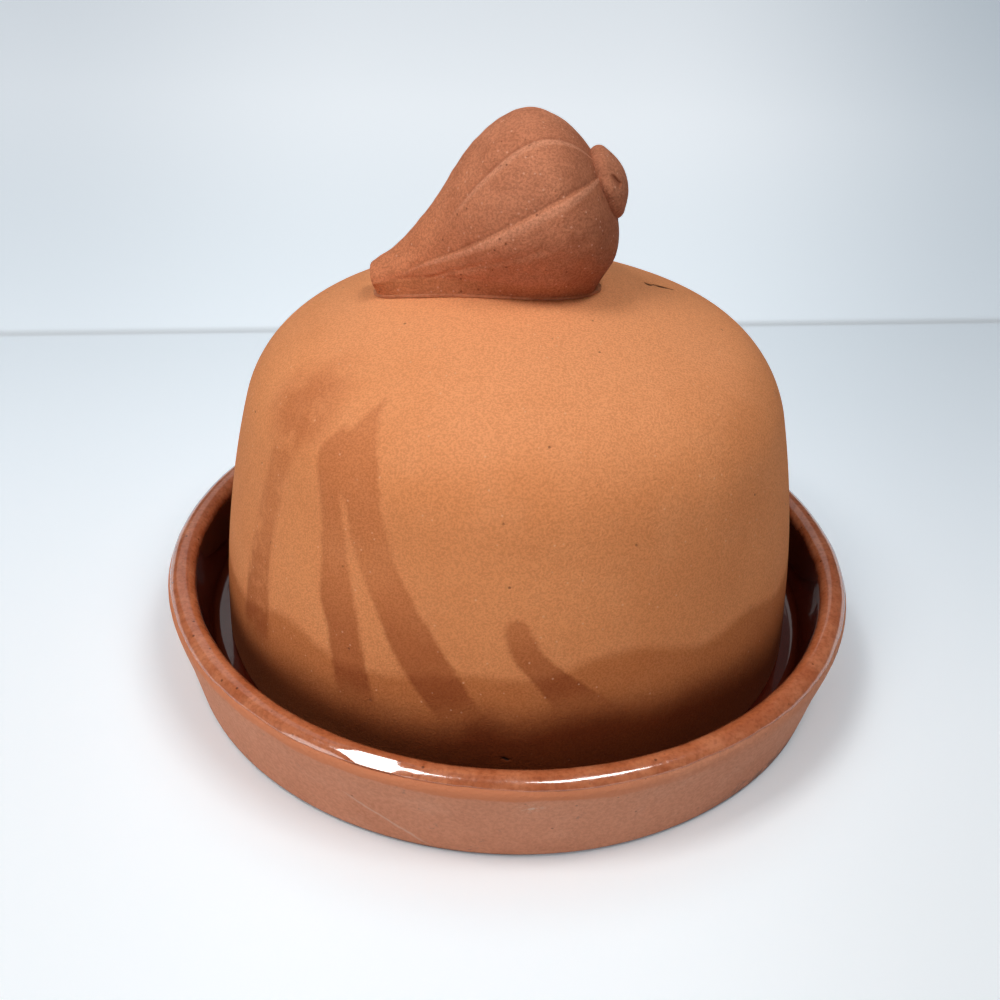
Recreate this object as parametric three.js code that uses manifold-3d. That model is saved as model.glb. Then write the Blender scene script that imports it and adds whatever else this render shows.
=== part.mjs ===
// Garlic roaster: a glazed terracotta saucer and a loose dome lid with a garlic-bulb knob.
// Millimetres, +Z up. The origin is the middle of the saucer's flat underside.
import * as THREE from 'three';
import { mergeVertices } from 'three/addons/utils/BufferGeometryUtils.js';
import Module from 'manifold-3d';

// Dome lid
const domeFootRadius = 62.9;
const domeFootLean = THREE.MathUtils.degToRad(1.8);
const domeWallArcRadius = 237;
const domeWallHeight = 52.7;
const domeShoulderRadius = 22.7;
const domeCrownRadius = 100;
const domeThickness = 6;
const domeFootChamfer = 1.2;
const domeSeatGap = 0.2;

// Saucer
const saucerHeight = 22;
const saucerFloor = 6.8;
const saucerWall = 5;
const saucerLean = THREE.MathUtils.degToRad(10.6);
const saucerCoveRadius = 3;
const saucerFootChamfer = 1;
const saucerFootRoom = 1.84;

// Glaze coat, which ends on the outside of the lip at an angle above the lip's middle
const glazeThickness = 0.35;
const glazeGap = 0.1;
const glazeEndAngle = THREE.MathUtils.degToRad(15);

// Garlic knob: a bulb on a tilted axis that runs from the stem's cut end to the root
const knobStemReach = 28;
const knobStemHeight = 1;
const knobTilt = THREE.MathUtils.degToRad(30.5);
const knobLength = 49.2;
const knobBellyStation = 36.6;
const knobBellyRadius = 17.8;
const knobStemRadius = 4.8;
const knobStemRound = 0.6;
const knobSwellPower = 1.14;
const knobRootPower = 3;
const knobSideSquash = 0.95;
const knobUnderSquash = 0.66;
const knobUnderStart = THREE.MathUtils.degToRad(95);
const knobUnderEnd = THREE.MathUtils.degToRad(150);
const cloveCount = 8;
const cloveStart = THREE.MathUtils.degToRad(36);
const cloveGroove = 0.055;
const knobFootHalfWidth = 9.2;
const knobFootBack = 15.5;
const knobFootInset = 1;
const knobFootTilt = THREE.MathUtils.degToRad(13);
const knobWall = 6;
const knobThroatRadius = 4;
const ventRadius = 2.5;

// Root button and the slip bed under the knob
const buttonRadius = 6.6;
const buttonEdge = 1.9;
const buttonEdgeTurn = THREE.MathUtils.degToRad(60);
const buttonHeight = 5.4;
const buttonSink = 2;
const buttonDrop = 2;
const fitGap = 0.3;
const slipThickness = 0.8;
const slipSpread = 0.6;

// Facets, and the distance within which corners are one corner
const weld = 1e-3;
const roundSides = 48;
const arcSteps = 3;
const knobSidesPerClove = 5;
const knobStations = 9;
const buttonSides = 28;
const boreSides = 20;

const wasm = await Module();
wasm.setup();

// A half section turned about the upright axis.
function turned(outline) {
  return new THREE.LatheGeometry(outline, roundSides).rotateX(Math.PI / 2);
}

// A closed geometry as a solid: shared corners are merged, and the flat triangles at a pole are dropped.
function solidOf(geometry) {
  const bare = geometry.clone();
  bare.deleteAttribute('normal');
  bare.deleteAttribute('uv');
  const merged = mergeVertices(bare, weld);
  const corners = [];
  for (let i = 0; i < merged.index.count; i += 3) {
    const [a, b, c] = [0, 1, 2].map((k) => merged.index.getX(i + k));
    if (a !== b && b !== c && c !== a) corners.push(a, b, c);
  }
  const vertProperties = merged.attributes.position.array;
  const triVerts = new Uint32Array(corners);
  return new wasm.Manifold(new wasm.Mesh({ numProp: 3, vertProperties, triVerts }));
}

function geometryOf(solid) {
  const mesh = solid.getMesh();
  const geometry = new THREE.BufferGeometry();
  geometry.setAttribute('position', new THREE.BufferAttribute(mesh.vertProperties, 3));
  geometry.setIndex(new THREE.BufferAttribute(mesh.triVerts, 1));
  geometry.computeVertexNormals();
  return geometry;
}

function clay(color, roughness) {
  return new THREE.MeshStandardMaterial({ color, roughness, metalness: 0 });
}

function piece(name, geometry, material) {
  const mesh = new THREE.Mesh(geometry, material);
  mesh.name = name;
  return mesh;
}

// Saucer section: a flat floor, a cove, a wall that leans out and a half-round lip.
const lean = Math.tan(saucerLean);
const floorEdge = domeFootRadius + saucerFootRoom;
const coveTangent = saucerCoveRadius * Math.tan(Math.PI / 4 - saucerLean / 2);
const wallWidth = saucerWall / Math.cos(saucerLean);
const lipRadius = saucerWall / 2;
const lipHeight = saucerHeight - lipRadius;
const innerWallAt = (z) => floorEdge + coveTangent + (z - saucerFloor) * lean;
const lipCentre = innerWallAt(lipHeight) + wallWidth / 2;

// Adds the inside of the saucer to a path, from the lip to the floor, at a distance above the bare clay.
function addInside(path, offset, lipStart) {
  const coveCentre = saucerFloor + saucerCoveRadius;
  path.absarc(lipCentre, lipHeight, lipRadius + offset, lipStart, Math.PI - saucerLean, false);
  const coveStart = Math.PI * 2 - saucerLean;
  path.absarc(floorEdge, coveCentre, saucerCoveRadius - offset, coveStart, Math.PI * 1.5, true);
  path.lineTo(0, saucerFloor + offset);
}

function saucerBase() {
  const outerWallAt = (z) => innerWallAt(z) + wallWidth;
  const path = new THREE.Path();
  path.moveTo(0, 0);
  path.lineTo(outerWallAt(0) - saucerFootChamfer, 0);
  path.lineTo(outerWallAt(saucerFootChamfer), saucerFootChamfer);
  addInside(path, 0, -saucerLean);
  return turned(path.getPoints(arcSteps));
}

function saucerGlaze() {
  const top = new THREE.Path();
  addInside(top, glazeGap + glazeThickness, glazeEndAngle);
  const under = new THREE.Path();
  addInside(under, glazeGap, glazeEndAngle);
  return turned([...under.getPoints(arcSteps).reverse(), ...top.getPoints(arcSteps)]);
}

// Dome section, from its foot at zero height: a gently arched wall, a tight shoulder and a flatter crown.
const wallCentreRadius = domeFootRadius - domeWallArcRadius * Math.cos(domeFootLean);
const wallCentreHeight = -domeWallArcRadius * Math.sin(domeFootLean);
const shoulderStart = Math.asin((domeWallHeight - wallCentreHeight) / domeWallArcRadius);
const shoulderSwing = domeWallArcRadius - domeShoulderRadius;
const shoulderCentreRadius = wallCentreRadius + shoulderSwing * Math.cos(shoulderStart);
const shoulderCentreHeight = wallCentreHeight + shoulderSwing * Math.sin(shoulderStart);
const crownSwing = domeCrownRadius - domeShoulderRadius;
const crownCentre = shoulderCentreHeight - Math.sqrt(crownSwing ** 2 - shoulderCentreRadius ** 2);
const crownStart = Math.atan2(shoulderCentreHeight - crownCentre, shoulderCentreRadius);
const domeTop = crownCentre + domeCrownRadius;
const crownAt = (x) => crownCentre + Math.sqrt(domeCrownRadius ** 2 - x ** 2);

const wallAngleAt = (z, offset) => Math.asin((z - wallCentreHeight) / (domeWallArcRadius + offset));

// The dome's surface grown by an offset, as points from a height on the wall up to the middle of the crown.
function domeSurface(offset, fromHeight) {
  const path = new THREE.Path();
  const start = wallAngleAt(fromHeight, offset);
  const wallRadius = domeWallArcRadius + offset;
  path.absarc(wallCentreRadius, wallCentreHeight, wallRadius, start, shoulderStart, false);
  const shoulderRadius = domeShoulderRadius + offset;
  path.absarc(shoulderCentreRadius, shoulderCentreHeight, shoulderRadius, shoulderStart, crownStart, false);
  path.absarc(0, crownCentre, domeCrownRadius + offset, crownStart, Math.PI / 2, false);
  return path.getPoints(arcSteps);
}

function domeShell() {
  const outside = domeSurface(0, domeFootChamfer);
  const inside = domeSurface(-domeThickness, domeFootChamfer).reverse();
  const footOuter = new THREE.Vector2(outside[0].x - domeFootChamfer, 0);
  const footInner = new THREE.Vector2(inside[inside.length - 1].x + domeFootChamfer, 0);
  return solidOf(turned([...inside, footInner, footOuter, ...outside]));
}

// The whole space inside the dome's surface, grown by an offset: it cuts what is seated on the crown.
function domeBlock(offset) {
  return solidOf(turned([new THREE.Vector2(0, 0), ...domeSurface(offset, 0)]));
}

// The knob's own frame has its stem end at the origin and its axis along +X.
const stemHeight = crownAt(knobStemReach) + knobStemHeight;
const knobPlace = new THREE.Matrix4()
  .makeTranslation(-knobStemReach, 0, stemHeight)
  .multiply(new THREE.Matrix4().makeRotationY(-knobTilt));
const alongKnob = new THREE.Matrix4().makeRotationZ(-Math.PI / 2);

function knobRadiusAt(station) {
  if (station < knobBellyStation) {
    const swell = (station / knobBellyStation) ** knobSwellPower;
    return knobStemRadius + (knobBellyRadius - knobStemRadius) * THREE.MathUtils.smoothstep(swell, 0, 1);
  }
  const past = (station - knobBellyStation) / (knobLength - knobBellyStation);
  return knobBellyRadius * Math.sqrt(1 - Math.min(past, 1) ** knobRootPower);
}

// How far the bulb stands out sideways: nearly round above, drawn in under the belly.
function sideSquashAt(angle) {
  const under = THREE.MathUtils.smoothstep(Math.abs(angle), knobUnderStart, knobUnderEnd);
  return THREE.MathUtils.lerp(knobSideSquash, knobUnderSquash, under);
}

function grooveAt(angle, station) {
  const deep = 1 - Math.abs(Math.sin(((angle - cloveStart) * cloveCount) / 2));
  const reach = THREE.MathUtils.smoothstep(station, 0, knobBellyStation);
  return cloveGroove * deep ** 2 * reach;
}

function bulb() {
  const outline = [new THREE.Vector2(0, 0), new THREE.Vector2(knobStemRadius - knobStemRound, 0)];
  for (let i = 0; i <= knobStations; i += 1) {
    const station = Math.max(knobStemRound, (knobBellyStation * i) / knobStations);
    outline.push(new THREE.Vector2(knobRadiusAt(station), station));
  }
  for (let i = 1; i <= knobStations; i += 1) {
    const turn = Math.sin((Math.PI / 2) * (i / knobStations));
    const station = knobBellyStation + (knobLength - knobBellyStation) * turn;
    outline.push(new THREE.Vector2(knobRadiusAt(station), station));
  }
  const geometry = new THREE.LatheGeometry(outline, cloveCount * knobSidesPerClove);
  geometry.applyMatrix4(alongKnob);
  const position = geometry.attributes.position;
  for (let i = 0; i < position.count; i += 1) {
    const angle = Math.atan2(-position.getY(i), position.getZ(i));
    const keep = 1 - grooveAt(angle, position.getX(i));
    position.setY(i, position.getY(i) * keep * sideSquashAt(angle));
    position.setZ(i, position.getZ(i) * keep);
  }
  return solidOf(geometry.applyMatrix4(knobPlace));
}

// The knob's footprint on the crown: an egg of two half ellipses, grown by a margin.
function footprint(margin) {
  const front = knobStemReach - knobFootInset + margin;
  const half = knobFootHalfWidth + margin;
  const shape = new THREE.Shape();
  shape.absellipse(0, 0, knobFootBack + margin, half, -Math.PI / 2, Math.PI / 2, false, 0);
  shape.absellipse(0, 0, front, half, Math.PI / 2, Math.PI * 1.5, false, 0);
  return shape;
}

// A straight block over a footprint, from well inside the crown up to above it.
const blockBase = domeTop / 2;

function blockOver(shape) {
  const settings = { depth: domeTop, bevelEnabled: false, curveSegments: boreSides };
  return new THREE.ExtrudeGeometry(shape, settings).translate(0, 0, blockBase);
}

// The block under the bulb, whose sloping top stays inside the bulb's belly.
function footBlock() {
  const geometry = blockOver(footprint(0));
  const position = geometry.attributes.position;
  for (let i = 0; i < position.count; i += 1) {
    const rise = (position.getX(i) + knobStemReach) * Math.tan(knobFootTilt);
    if (position.getZ(i) > domeTop) position.setZ(i, stemHeight + rise);
  }
  return solidOf(geometry);
}

const cavityCentre = new THREE.Vector3(knobBellyStation, 0, 0).applyMatrix4(knobPlace);

function cavity() {
  const side = knobBellyRadius * (1 - cloveGroove) * knobSideSquash - knobWall;
  const geometry = new THREE.SphereGeometry(1, boreSides, boreSides / 2);
  geometry.scale(knobLength - knobWall - knobBellyStation, side, knobBellyRadius - knobWall);
  geometry.translate(knobBellyStation, 0, 0);
  return solidOf(geometry.applyMatrix4(knobPlace));
}

// A straight hole on the dome's axis, from the height of the cavity's middle down through the crown.
function uprightBore(radius) {
  const geometry = new THREE.CylinderGeometry(radius, radius, cavityCentre.z, boreSides);
  geometry.rotateX(Math.PI / 2);
  geometry.translate(0, 0, cavityCentre.z / 2);
  return solidOf(geometry);
}

// The button in its own frame: its back at the origin and its round face up, grown by a margin.
function buttonGeometry(margin) {
  const edge = buttonEdge + margin;
  const flat = buttonRadius - buttonEdge;
  const path = new THREE.Path();
  path.moveTo(0, -margin);
  path.lineTo(flat, -margin);
  path.absarc(flat, buttonEdge, edge, -Math.PI / 2, buttonEdgeTurn, false);
  path.quadraticCurveTo(flat / 2, buttonHeight + margin, 0, buttonHeight + margin);
  return new THREE.LatheGeometry(path.getPoints(arcSteps), buttonSides);
}

const buttonPlace = new THREE.Matrix4()
  .copy(knobPlace)
  .multiply(new THREE.Matrix4().makeTranslation(knobLength - buttonSink, 0, -buttonDrop))
  .multiply(alongKnob);

function garlicKnob() {
  const socket = solidOf(buttonGeometry(fitGap).applyMatrix4(buttonPlace));
  return bulb()
    .add(footBlock())
    .subtract(cavity())
    .subtract(uprightBore(knobThroatRadius))
    .subtract(domeBlock(fitGap + slipThickness + fitGap))
    .subtract(socket);
}

function knobSlip() {
  return solidOf(blockOver(footprint(slipSpread)))
    .intersect(domeBlock(fitGap + slipThickness))
    .subtract(domeBlock(fitGap))
    .subtract(uprightBore(ventRadius));
}

const saucer = new THREE.Group();
saucer.add(piece('saucer_base', saucerBase(), clay(0xa86b52, 0.85)));
saucer.add(piece('saucer_glaze', saucerGlaze(), clay(0x8a3f22, 0.15)));

const lid = new THREE.Group();
lid.position.z = saucerFloor + glazeGap + glazeThickness + domeSeatGap;
const shell = domeShell().subtract(uprightBore(ventRadius));
lid.add(piece('dome_lid', geometryOf(shell), clay(0xcf8a58, 0.9)));
lid.add(piece('garlic_knob', geometryOf(garlicKnob()), clay(0xa96643, 0.9)));
lid.add(piece('knob_slip', geometryOf(knobSlip()), clay(0xb97a55, 0.9)));

const button = piece('root_button', buttonGeometry(0), clay(0xa5623f, 0.9));
button.applyMatrix4(buttonPlace);
lid.add(button);

const roaster = new THREE.Group();
roaster.add(saucer);
roaster.add(lid);

export default roaster;
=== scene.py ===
import math

import bmesh
import bpy
from mathutils import Matrix, Vector, noise


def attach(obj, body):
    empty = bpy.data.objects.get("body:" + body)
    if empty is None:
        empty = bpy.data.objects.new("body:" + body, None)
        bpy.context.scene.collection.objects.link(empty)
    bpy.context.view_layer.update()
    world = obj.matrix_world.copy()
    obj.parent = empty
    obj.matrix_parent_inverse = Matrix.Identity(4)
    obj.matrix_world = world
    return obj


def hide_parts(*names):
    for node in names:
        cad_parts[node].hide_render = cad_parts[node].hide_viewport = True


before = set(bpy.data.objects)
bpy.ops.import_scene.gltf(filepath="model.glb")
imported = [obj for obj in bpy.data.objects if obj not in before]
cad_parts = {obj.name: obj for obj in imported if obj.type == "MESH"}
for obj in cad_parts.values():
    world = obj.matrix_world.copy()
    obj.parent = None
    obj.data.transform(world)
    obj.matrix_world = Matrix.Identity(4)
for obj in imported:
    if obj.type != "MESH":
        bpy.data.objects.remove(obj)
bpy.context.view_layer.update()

# Saucer base: a shallow dish of red earthenware, pressed over a mould and fired bare.
# Its outside stays matte and pinkish brown, with a scratch and scuffs, and it stands on a flat underside.
MM = 0.001
FLOOR_HEIGHT = 6.8
FLOOR_EDGE = 64.74
COVE_RADIUS = 3.0
WALL_LEAN = math.radians(10.6)
LIP_RADIUS = 2.5
LIP_CENTRE = (72.15, 19.5)
FOOT_ROUND = 1.4
FOOT_CENTRE = (69.88, FOOT_ROUND)


def start_at(shape, radius, height):
    return shape.verts.new((radius * MM, 0, height * MM))


def line_to(shape, pen, radius, height, cuts=0):
    start, end = pen.co.copy(), Vector((radius * MM, 0, height * MM))
    for step in range(1, cuts + 2):
        pen = bmesh.ops.extrude_vert_indiv(shape, verts=[pen])["verts"][0]
        pen.co = start.lerp(end, step / (cuts + 1))
    return pen


def arc_about(shape, pen, centre, sweep, steps):
    middle = (centre[0] * MM, 0, centre[1] * MM)
    swept = bmesh.ops.spin(
        shape, geom=[pen], cent=middle, axis=(0, -1, 0), angle=sweep, steps=steps)
    return [part for part in swept["geom_last"] if isinstance(part, bmesh.types.BMVert)][0]


def turn_on_wheel(shape, steps):
    outline = shape.verts[:] + shape.edges[:]
    bmesh.ops.spin(shape, geom=outline, cent=(0, 0, 0), axis=(0, 0, 1),
                   angle=2 * math.pi, steps=steps, use_merge=True)
    bmesh.ops.remove_doubles(shape, verts=shape.verts, dist=1e-7)
    bmesh.ops.recalc_face_normals(shape, faces=shape.faces)


def fired_piece(shape, name, finish, node, body):
    mesh = bpy.data.meshes.new(name)
    shape.to_mesh(mesh)
    shape.free()
    mesh.shade_smooth()
    mesh.materials.append(finish)
    piece = bpy.data.objects.new(name, mesh)
    bpy.context.scene.collection.objects.link(piece)
    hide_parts(node)
    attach(piece, body)
    return piece


def front_angle(place):
    """Degrees round the upright axis from the front, growing to the right."""
    return math.degrees(math.atan2(place.x, -place.y))


def ease(value, low, high):
    share = min(max((value - low) / (high - low), 0), 1)
    return share * share * (3 - 2 * share)


def new_finish(name):
    finish = bpy.data.materials.new(name)
    finish.use_nodes = True
    tree = finish.node_tree
    place = tree.nodes.new("ShaderNodeTexCoord").outputs["Object"]
    return finish, tree, tree.nodes["Principled BSDF"], place


def feed(tree, value, socket):
    if isinstance(value, bpy.types.NodeSocket):
        tree.links.new(value, socket)
    else:
        socket.default_value = value


def mottle(tree, place, size, detail=2.0, rough=0.5):
    """Cloudy noise whose spots are about size millimetres across."""
    spots = tree.nodes.new("ShaderNodeTexNoise")
    spots.inputs["Scale"].default_value = 1 / (size * MM)
    spots.inputs["Detail"].default_value = detail
    spots.inputs["Roughness"].default_value = rough
    feed(tree, place, spots.inputs["Vector"])
    return spots.outputs["Fac"]


def grit(tree, place, size):
    """Distance to scattered points about size millimetres apart, for specks and pits."""
    cells = tree.nodes.new("ShaderNodeTexVoronoi")
    cells.inputs["Scale"].default_value = 1 / (size * MM)
    feed(tree, place, cells.inputs["Vector"])
    return cells.outputs["Distance"]


def between(tree, value, low, high, to_low=0.0, to_high=1.0):
    ramp = tree.nodes.new("ShaderNodeMapRange")
    ramp.interpolation_type = "SMOOTHSTEP"
    feed(tree, value, ramp.inputs["Value"])
    for name, number in (("From Min", low), ("From Max", high), ("To Min", to_low), ("To Max", to_high)):
        ramp.inputs[name].default_value = number
    return ramp.outputs["Result"]


def reckon(tree, way, first, second=0.0):
    sum_node = tree.nodes.new("ShaderNodeMath")
    sum_node.operation = way
    feed(tree, first, sum_node.inputs[0])
    feed(tree, second, sum_node.inputs[1])
    return sum_node.outputs["Value"]


def tint(tree, amount, under, over, way="MIX"):
    blend = tree.nodes.new("ShaderNodeMix")
    blend.data_type = "RGBA"
    blend.blend_type = way
    feed(tree, amount, blend.inputs["Factor"])
    feed(tree, under, blend.inputs[6])
    feed(tree, over, blend.inputs[7])
    return blend.outputs[2]


def mark(tree, name):
    attribute = tree.nodes.new("ShaderNodeAttribute")
    attribute.attribute_name = name
    return attribute.outputs["Fac"]


def relief(tree, height, depth, under=None):
    """A bumped normal: the height runs from 0 to 1 over depth millimetres."""
    bump = tree.nodes.new("ShaderNodeBump")
    bump.inputs["Distance"].default_value = depth * MM
    feed(tree, height, bump.inputs["Height"])
    if under is not None:
        feed(tree, under, bump.inputs["Normal"])
    return bump.outputs["Normal"]


saucer = bmesh.new()
pen = start_at(saucer, 0, 0)
pen = line_to(saucer, pen, FOOT_CENTRE[0], 0, cuts=9)
pen = arc_about(saucer, pen, FOOT_CENTRE, math.pi / 2 - WALL_LEAN, 6)
pen = line_to(saucer, pen, LIP_CENTRE[0] + LIP_RADIUS * math.cos(WALL_LEAN),
              LIP_CENTRE[1] - LIP_RADIUS * math.sin(WALL_LEAN), cuts=16)
pen = arc_about(saucer, pen, LIP_CENTRE, math.pi, 16)
pen = line_to(saucer, pen, FLOOR_EDGE + COVE_RADIUS * math.cos(WALL_LEAN),
              FLOOR_HEIGHT + COVE_RADIUS * (1 - math.sin(WALL_LEAN)), cuts=6)
pen = arc_about(saucer, pen, (FLOOR_EDGE, FLOOR_HEIGHT + COVE_RADIUS), WALL_LEAN - math.pi / 2, 5)
pen = line_to(saucer, pen, 0, FLOOR_HEIGHT, cuts=6)
turn_on_wheel(saucer, 300)

# The wall is a little uneven, a thumb has flattened the lip at the front left, and a thin scratch runs
# aslant. A mark's place is in degrees round from the front, and in millimetres up.
SCRATCH_TOP = (-22.8, 11.7)
SCRATCH_FOOT = (-9.3, 1.0)
SCUFF = (4.7, 16.7)
FLAT_BEGINS = (-22.6, -20.3)
FLAT_ENDS = (-15.5, -11)
FLAT_TURN = math.radians(62)
FLAT_DEPTH = 0.33
LIP_SWELL = 0.38
WALL_UNEVEN = 0.14


def flatten_lip(place, lip_reach):
    """Pushes a place on the lip, of lip_reach millimetres round, back to the flat that the thumb left."""
    turn = front_angle(place)
    share = ease(turn, *FLAT_BEGINS) * (1 - ease(turn, *FLAT_ENDS))
    across = math.hypot(place.x, place.y) / MM - LIP_CENTRE[0]
    rise = place.z / MM - LIP_CENTRE[1]
    proud = across * math.cos(FLAT_TURN) + rise * math.sin(FLAT_TURN) - lip_reach + FLAT_DEPTH
    if share > 0 and proud > 0:
        around = Vector((place.x, place.y, 0)).normalized()
        place -= (around * math.cos(FLAT_TURN) + Vector((0, 0, math.sin(FLAT_TURN)))) * proud * share * MM


scratch = saucer.verts.layers.float.new("scratch")
scratch_reach = saucer.verts.layers.float.new("scratch_reach")
scuffed = saucer.verts.layers.float.new("scuffed")
for vert in saucer.verts:
    height = vert.co.z / MM
    reach = math.hypot(vert.co.x, vert.co.y) / MM
    around = Vector((vert.co.x, vert.co.y, 0)) / (reach * MM) if reach > 1 else Vector()
    lip_turn = math.degrees(math.atan2(height - LIP_CENTRE[1], reach - LIP_CENTRE[0]))
    if reach > LIP_CENTRE[0]:
        vert.co += around * MM * LIP_SWELL * ease(height, 10, 18.5) * (1 - ease(lip_turn, 34, 60))
    flatten_lip(vert.co, LIP_RADIUS)
    if reach > FLOOR_EDGE and 0.5 < height:
        ripple = noise.noise(around * 2.3 + Vector((0, 0, height * 0.05)))
        vert.co -= around * MM * WALL_UNEVEN * (0.5 + ripple)
    turn = front_angle(vert.co)
    run = ((turn - SCRATCH_TOP[0]) * (SCRATCH_FOOT[1] - SCRATCH_TOP[1])
           - (height - SCRATCH_TOP[1]) * (SCRATCH_FOOT[0] - SCRATCH_TOP[0]))
    length = math.hypot(SCRATCH_FOOT[0] - SCRATCH_TOP[0], SCRATCH_FOOT[1] - SCRATCH_TOP[1])
    vert[scratch] = run / length
    if abs(turn) < 60 and reach > FLOOR_EDGE + COVE_RADIUS:
        vert[scratch_reach] = ease(height, SCRATCH_FOOT[1], 2.5) * (1 - ease(height, 10, SCRATCH_TOP[1]))
        vert[scuffed] = 1 - ease(math.hypot((turn - SCUFF[0]) * 1.27, (height - SCUFF[1]) * 1.5), 0.4, 2.6)

bare_clay, tree, surface, place = new_finish("bare_saucer_clay")
cloud = between(tree, mottle(tree, place, 26, 4), 0.3, 0.7)
colour = tint(tree, cloud, (0.64, 0.262, 0.148, 1), (0.72, 0.31, 0.182, 1))
dust = between(tree, mottle(tree, place, 9, 5, 0.65), 0.5, 0.75, 0, 0.45)
colour = tint(tree, dust, colour, (0.76, 0.37, 0.24, 1))
fine = mottle(tree, place, 0.8, 3, 0.6)
colour = tint(tree, between(tree, fine, 0.35, 0.68), colour, (0.88, 0.86, 0.85, 1), "MULTIPLY")
soot = between(tree, mottle(tree, place, 5, 6, 0.7), 0.62, 0.72, 0, 0.5)
colour = tint(tree, soot, colour, (0.22, 0.12, 0.09, 1))
pits = between(tree, grit(tree, place, 4.2), 0.025, 0.075, 1, 0)
colour = tint(tree, reckon(tree, "MULTIPLY", pits, 0.5), colour, (0.16, 0.07, 0.045, 1))
scuff_grain = between(tree, mottle(tree, place, 0.9, 4, 0.7), 0.5, 0.62, 0, 0.7)
scuffing = reckon(tree, "MULTIPLY", mark(tree, "scuffed"), scuff_grain)
colour = tint(tree, scuffing, colour, (0.74, 0.56, 0.44, 1))
ways = tree.nodes.new("ShaderNodeSeparateXYZ")
feed(tree, place, ways.inputs["Vector"])
flash_edge = reckon(tree, "MULTIPLY", reckon(tree, "SUBTRACT", mottle(tree, place, 7, 4, 0.6), 0.5), 0.0022)
flash_edge = reckon(tree, "ADD", flash_edge, reckon(tree, "MULTIPLY", ways.outputs["X"], 0.014))
flash = between(tree, reckon(tree, "ADD", ways.outputs["Z"], flash_edge), 0.0183, 0.0191, 0, 0.9)
flash = reckon(tree, "MULTIPLY", flash, between(tree, ways.outputs["X"], 0.01, 0.045, 1, 0.2))
colour = tint(tree, flash, colour, (0.66, 0.22, 0.098, 1))
# Painted shade: the lowest millimetre of the wall is darkened for the contact shadow under the foot.
foot_contact_shade = between(tree, ways.outputs["Z"], 0.0003, 0.0012, 0.8, 0)
colour = tint(tree, foot_contact_shade, colour, (0.10, 0.055, 0.05, 1))
# Painted shade: the bottom few millimetres of the wall are darker on the right, away from the lamps, with a
# ragged upper edge.
right_foot_shade_edge = reckon(tree, "MULTIPLY", reckon(tree, "SUBTRACT", mottle(tree, place, 2.2, 5, 0.7), 0.5), 0.02)
right_foot_shade = between(tree, reckon(tree, "ADD", ways.outputs["Z"], right_foot_shade_edge), 0.0005, 0.0045, 0.75, 0)
right_foot_shade = reckon(tree, "MULTIPLY", right_foot_shade, between(tree, ways.outputs["X"], 0.036, 0.055))
colour = tint(tree, right_foot_shade, colour, (0.14, 0.095, 0.085, 1))
wobble = reckon(tree, "MULTIPLY", reckon(tree, "SUBTRACT", mottle(tree, place, 4), 0.5), 1.6)
scratch_line = reckon(tree, "ABSOLUTE", reckon(tree, "ADD", mark(tree, "scratch"), wobble))
scratch_line = between(tree, scratch_line, 0.12, 0.42, 0.6, 0)
scratch_line = reckon(tree, "MULTIPLY", scratch_line, mark(tree, "scratch_reach"))
colour = tint(tree, scratch_line, colour, (0.66, 0.42, 0.32, 1))
feed(tree, colour, surface.inputs["Base Color"])
feed(tree, between(tree, fine, 0.3, 0.7, 0.74, 0.92), surface.inputs["Roughness"])
surface.inputs["Specular IOR Level"].default_value = 0.32
grains = reckon(tree, "SUBTRACT", fine, reckon(tree, "MULTIPLY", pits, 0.8))
feed(tree, relief(tree, grains, 0.16), surface.inputs["Normal"])
fired_piece(saucer, "bare_saucer", bare_clay, "saucer_base", "base")

# Glaze coat: a clear brown glaze poured over the floor, the inner wall and the lip, and fired to a gloss.
# Inside it turns very dark, partly where it pools and partly as painted shade of the well; it breaks orange
# over the lip, and ends in a wavy line on the lip's outer shoulder.
GLAZE_UNDER = 0.1
GLAZE_TOP = 0.45
GLAZE_END = math.radians(36)

coat = bmesh.new()
inner_turn = math.pi - WALL_LEAN
cove_middle = (FLOOR_EDGE, FLOOR_HEIGHT + COVE_RADIUS)
pen = start_at(coat, 0, FLOOR_HEIGHT + GLAZE_UNDER)
pen = line_to(coat, pen, FLOOR_EDGE, FLOOR_HEIGHT + GLAZE_UNDER, cuts=4)
pen = arc_about(coat, pen, cove_middle, math.pi / 2 - WALL_LEAN, 5)
pen = line_to(coat, pen, LIP_CENTRE[0] + (LIP_RADIUS + GLAZE_UNDER) * math.cos(inner_turn),
              LIP_CENTRE[1] + (LIP_RADIUS + GLAZE_UNDER) * math.sin(inner_turn), cuts=4)
pen = arc_about(coat, pen, LIP_CENTRE, GLAZE_END - inner_turn, 24)
edge_reach = LIP_RADIUS + (GLAZE_UNDER + GLAZE_TOP) / 2
edge_middle = (LIP_CENTRE[0] + edge_reach * math.cos(GLAZE_END),
               LIP_CENTRE[1] + edge_reach * math.sin(GLAZE_END))
pen = arc_about(coat, pen, edge_middle, math.pi, 6)
pen = arc_about(coat, pen, LIP_CENTRE, inner_turn - GLAZE_END, 30)
pen = line_to(coat, pen, FLOOR_EDGE + (COVE_RADIUS - GLAZE_TOP) * math.cos(WALL_LEAN),
              cove_middle[1] - (COVE_RADIUS - GLAZE_TOP) * math.sin(WALL_LEAN), cuts=12)
pen = arc_about(coat, pen, cove_middle, WALL_LEAN - math.pi / 2, 6)
pen = line_to(coat, pen, 0, FLOOR_HEIGHT + GLAZE_TOP, cuts=20)
turn_on_wheel(coat, 360)
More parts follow.
